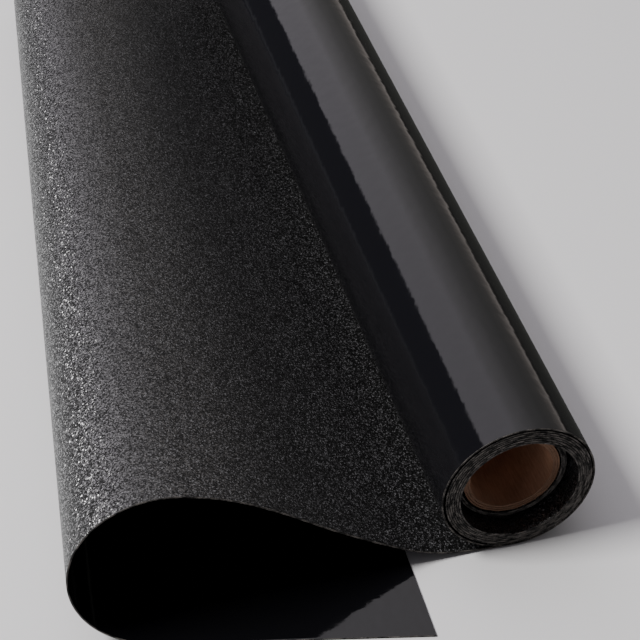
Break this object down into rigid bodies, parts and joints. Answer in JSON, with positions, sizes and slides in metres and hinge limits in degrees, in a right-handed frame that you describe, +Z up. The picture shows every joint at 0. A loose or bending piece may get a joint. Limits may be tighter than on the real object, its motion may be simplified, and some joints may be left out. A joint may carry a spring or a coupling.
{
  "type": "roll of sign vinyl",
  "caption": "Loosely wound roll of black adhesive sign film on a kraft board core, its free end arching off the roll and curling back under itself.",
  "frame": {"origin": "centre of the footprint, on the table plane", "axes": "+Y along the roll axis, away from the end that shows the recessed core; the free sheet leaves towards -X; +Z up"},
  "size_m": [0.1402, 0.3354, 0.0432],
  "materials": {
    "vinyl": "fine-grained, low-sheen black film face",
    "carrier": "smooth high-gloss black",
    "core": "bare brown kraft board"
  },
  "bodies": {
    "lead": {"carrier_lead": "carrier", "vinyl_lead": "vinyl"},
    "winding": {"carrier_wound": "carrier", "vinyl_wound": "vinyl"},
    "core": {"core_inner_ply": "core", "core_middle_ply": "core", "core_outer_ply": "core", "carrier_inner_turns": "carrier", "vinyl_inner_turns": "vinyl"},
    "sheet_01": {"carrier_sheet_01": "carrier", "vinyl_sheet_01": "vinyl"},
    "sheet_02": {"carrier_sheet_02": "carrier", "vinyl_sheet_02": "vinyl"},
    "sheet_03": {"carrier_sheet_03": "carrier", "vinyl_sheet_03": "vinyl"},
    "sheet_04": {"carrier_sheet_04": "carrier", "vinyl_sheet_04": "vinyl"},
    "sheet_05": {"carrier_sheet_05": "carrier", "vinyl_sheet_05": "vinyl"},
    "sheet_06": {"carrier_sheet_06": "carrier", "vinyl_sheet_06": "vinyl"},
    "sheet_07": {"carrier_sheet_07": "carrier", "vinyl_sheet_07": "vinyl"},
    "sheet_08": {"carrier_sheet_08": "carrier", "vinyl_sheet_08": "vinyl"},
    "sheet_09": {"carrier_sheet_09": "carrier", "vinyl_sheet_09": "vinyl"},
    "sheet_10": {"carrier_sheet_10": "carrier", "vinyl_sheet_10": "vinyl"},
    "sheet_11": {"carrier_sheet_11": "carrier", "vinyl_sheet_11": "vinyl"},
    "sheet_12": {"carrier_sheet_12": "carrier", "vinyl_sheet_12": "vinyl"}
  },
  "joints": [
    {"name": "roll_turn", "type": "hinge", "parent": "lead", "child": "winding", "pos_m": [0.04909, 0, 0.021], "axis": [0, 1, 0], "range_deg": [0, 165]},
    {"name": "core_slide", "type": "slide", "parent": "winding", "child": "core", "axis": [0, 1, 0], "range_m": [-0.15, 0.15]},
    {"name": "sheet_pull", "type": "slide", "parent": "lead", "child": "sheet_01", "axis": [-1, 0, 0], "range_m": [0, 0.06]},
    {"name": "sheet_lift", "type": "hinge", "parent": "sheet_01", "child": "sheet_02", "pos_m": [0.04259, -0.14284, 0.00022], "axis": [0.0054, 1, 0], "range_deg": [0, 15], "stiffness_Nm_per_rad": 0.4},
    {"name": "sheet_open", "type": "hinge", "parent": "sheet_02", "child": "sheet_03", "pos_m": [0.02524, -0.14284, 0.00251], "axis": [-0.0199, -0.9998, 0.0019], "range_deg": [0, 32.7], "stiffness_Nm_per_rad": 0.4},
    {"name": "curl_03", "type": "hinge", "parent": "sheet_03", "child": "sheet_04", "pos_m": [-0.02828, -0.143, 0.03836], "axis": [0.0643, 0.9974, -0.0317], "range_deg": [0, 13.51]},
    {"name": "curl_04", "type": "hinge", "parent": "sheet_04", "child": "sheet_05", "pos_m": [-0.04254, -0.14304, 0.04301], "axis": [0.0761, 0.9965, -0.0355], "range_deg": [0, 21.51]},
    {"name": "curl_05", "type": "hinge", "parent": "sheet_05", "child": "sheet_06", "pos_m": [-0.05222, -0.14316, 0.04244], "axis": [0.0841, 0.9958, -0.035], "range_deg": [0, 22.59]},
    {"name": "curl_06", "type": "hinge", "parent": "sheet_06", "child": "sheet_07", "pos_m": [-0.06095, -0.14349, 0.03821], "axis": [0.0912, 0.9953, -0.0315], "range_deg": [0, 23.68]},
    {"name": "curl_07", "type": "hinge", "parent": "sheet_07", "child": "sheet_08", "pos_m": [-0.06725, -0.14413, 0.03087], "axis": [0.0964, 0.995, -0.0254], "range_deg": [0, 24.76]},
    {"name": "curl_08", "type": "hinge", "parent": "sheet_08", "child": "sheet_09", "pos_m": [-0.06993, -0.14518, 0.0216], "axis": [0.0985, 0.995, -0.0177], "range_deg": [0, 25.84]},
    {"name": "curl_09", "type": "hinge", "parent": "sheet_09", "child": "sheet_10", "pos_m": [-0.06832, -0.14666, 0.01215], "axis": [0.0971, 0.9952, -0.0099], "range_deg": [0, 26.93]},
    {"name": "curl_10", "type": "hinge", "parent": "sheet_10", "child": "sheet_11", "pos_m": [-0.06263, -0.14851, 0.00452], "axis": [0.0923, 0.9957, -0.0035], "range_deg": [0, 28.01]},
    {"name": "curl_11", "type": "hinge", "parent": "sheet_11", "child": "sheet_12", "pos_m": [-0.05344, -0.15077, 0.00022], "axis": [0.0846, 0.9964, 0], "range_deg": [0, 24.66]}
  ],
  "couplings": [
    {"joint": "sheet_pull", "follows": "roll_turn", "m_per_rad": 0.020775},
    {"joint": "curl_03", "follows": "sheet_open", "ratio": 0.41284},
    {"joint": "curl_04", "follows": "sheet_open", "ratio": 0.65749},
    {"joint": "curl_05", "follows": "sheet_open", "ratio": 0.69062},
    {"joint": "curl_06", "follows": "sheet_open", "ratio": 0.72375},
    {"joint": "curl_07", "follows": "sheet_open", "ratio": 0.75688},
    {"joint": "curl_08", "follows": "sheet_open", "ratio": 0.79001},
    {"joint": "curl_09", "follows": "sheet_open", "ratio": 0.82314},
    {"joint": "curl_10", "follows": "sheet_open", "ratio": 0.85627},
    {"joint": "curl_11", "follows": "sheet_open", "ratio": 0.75373}
  ]
}
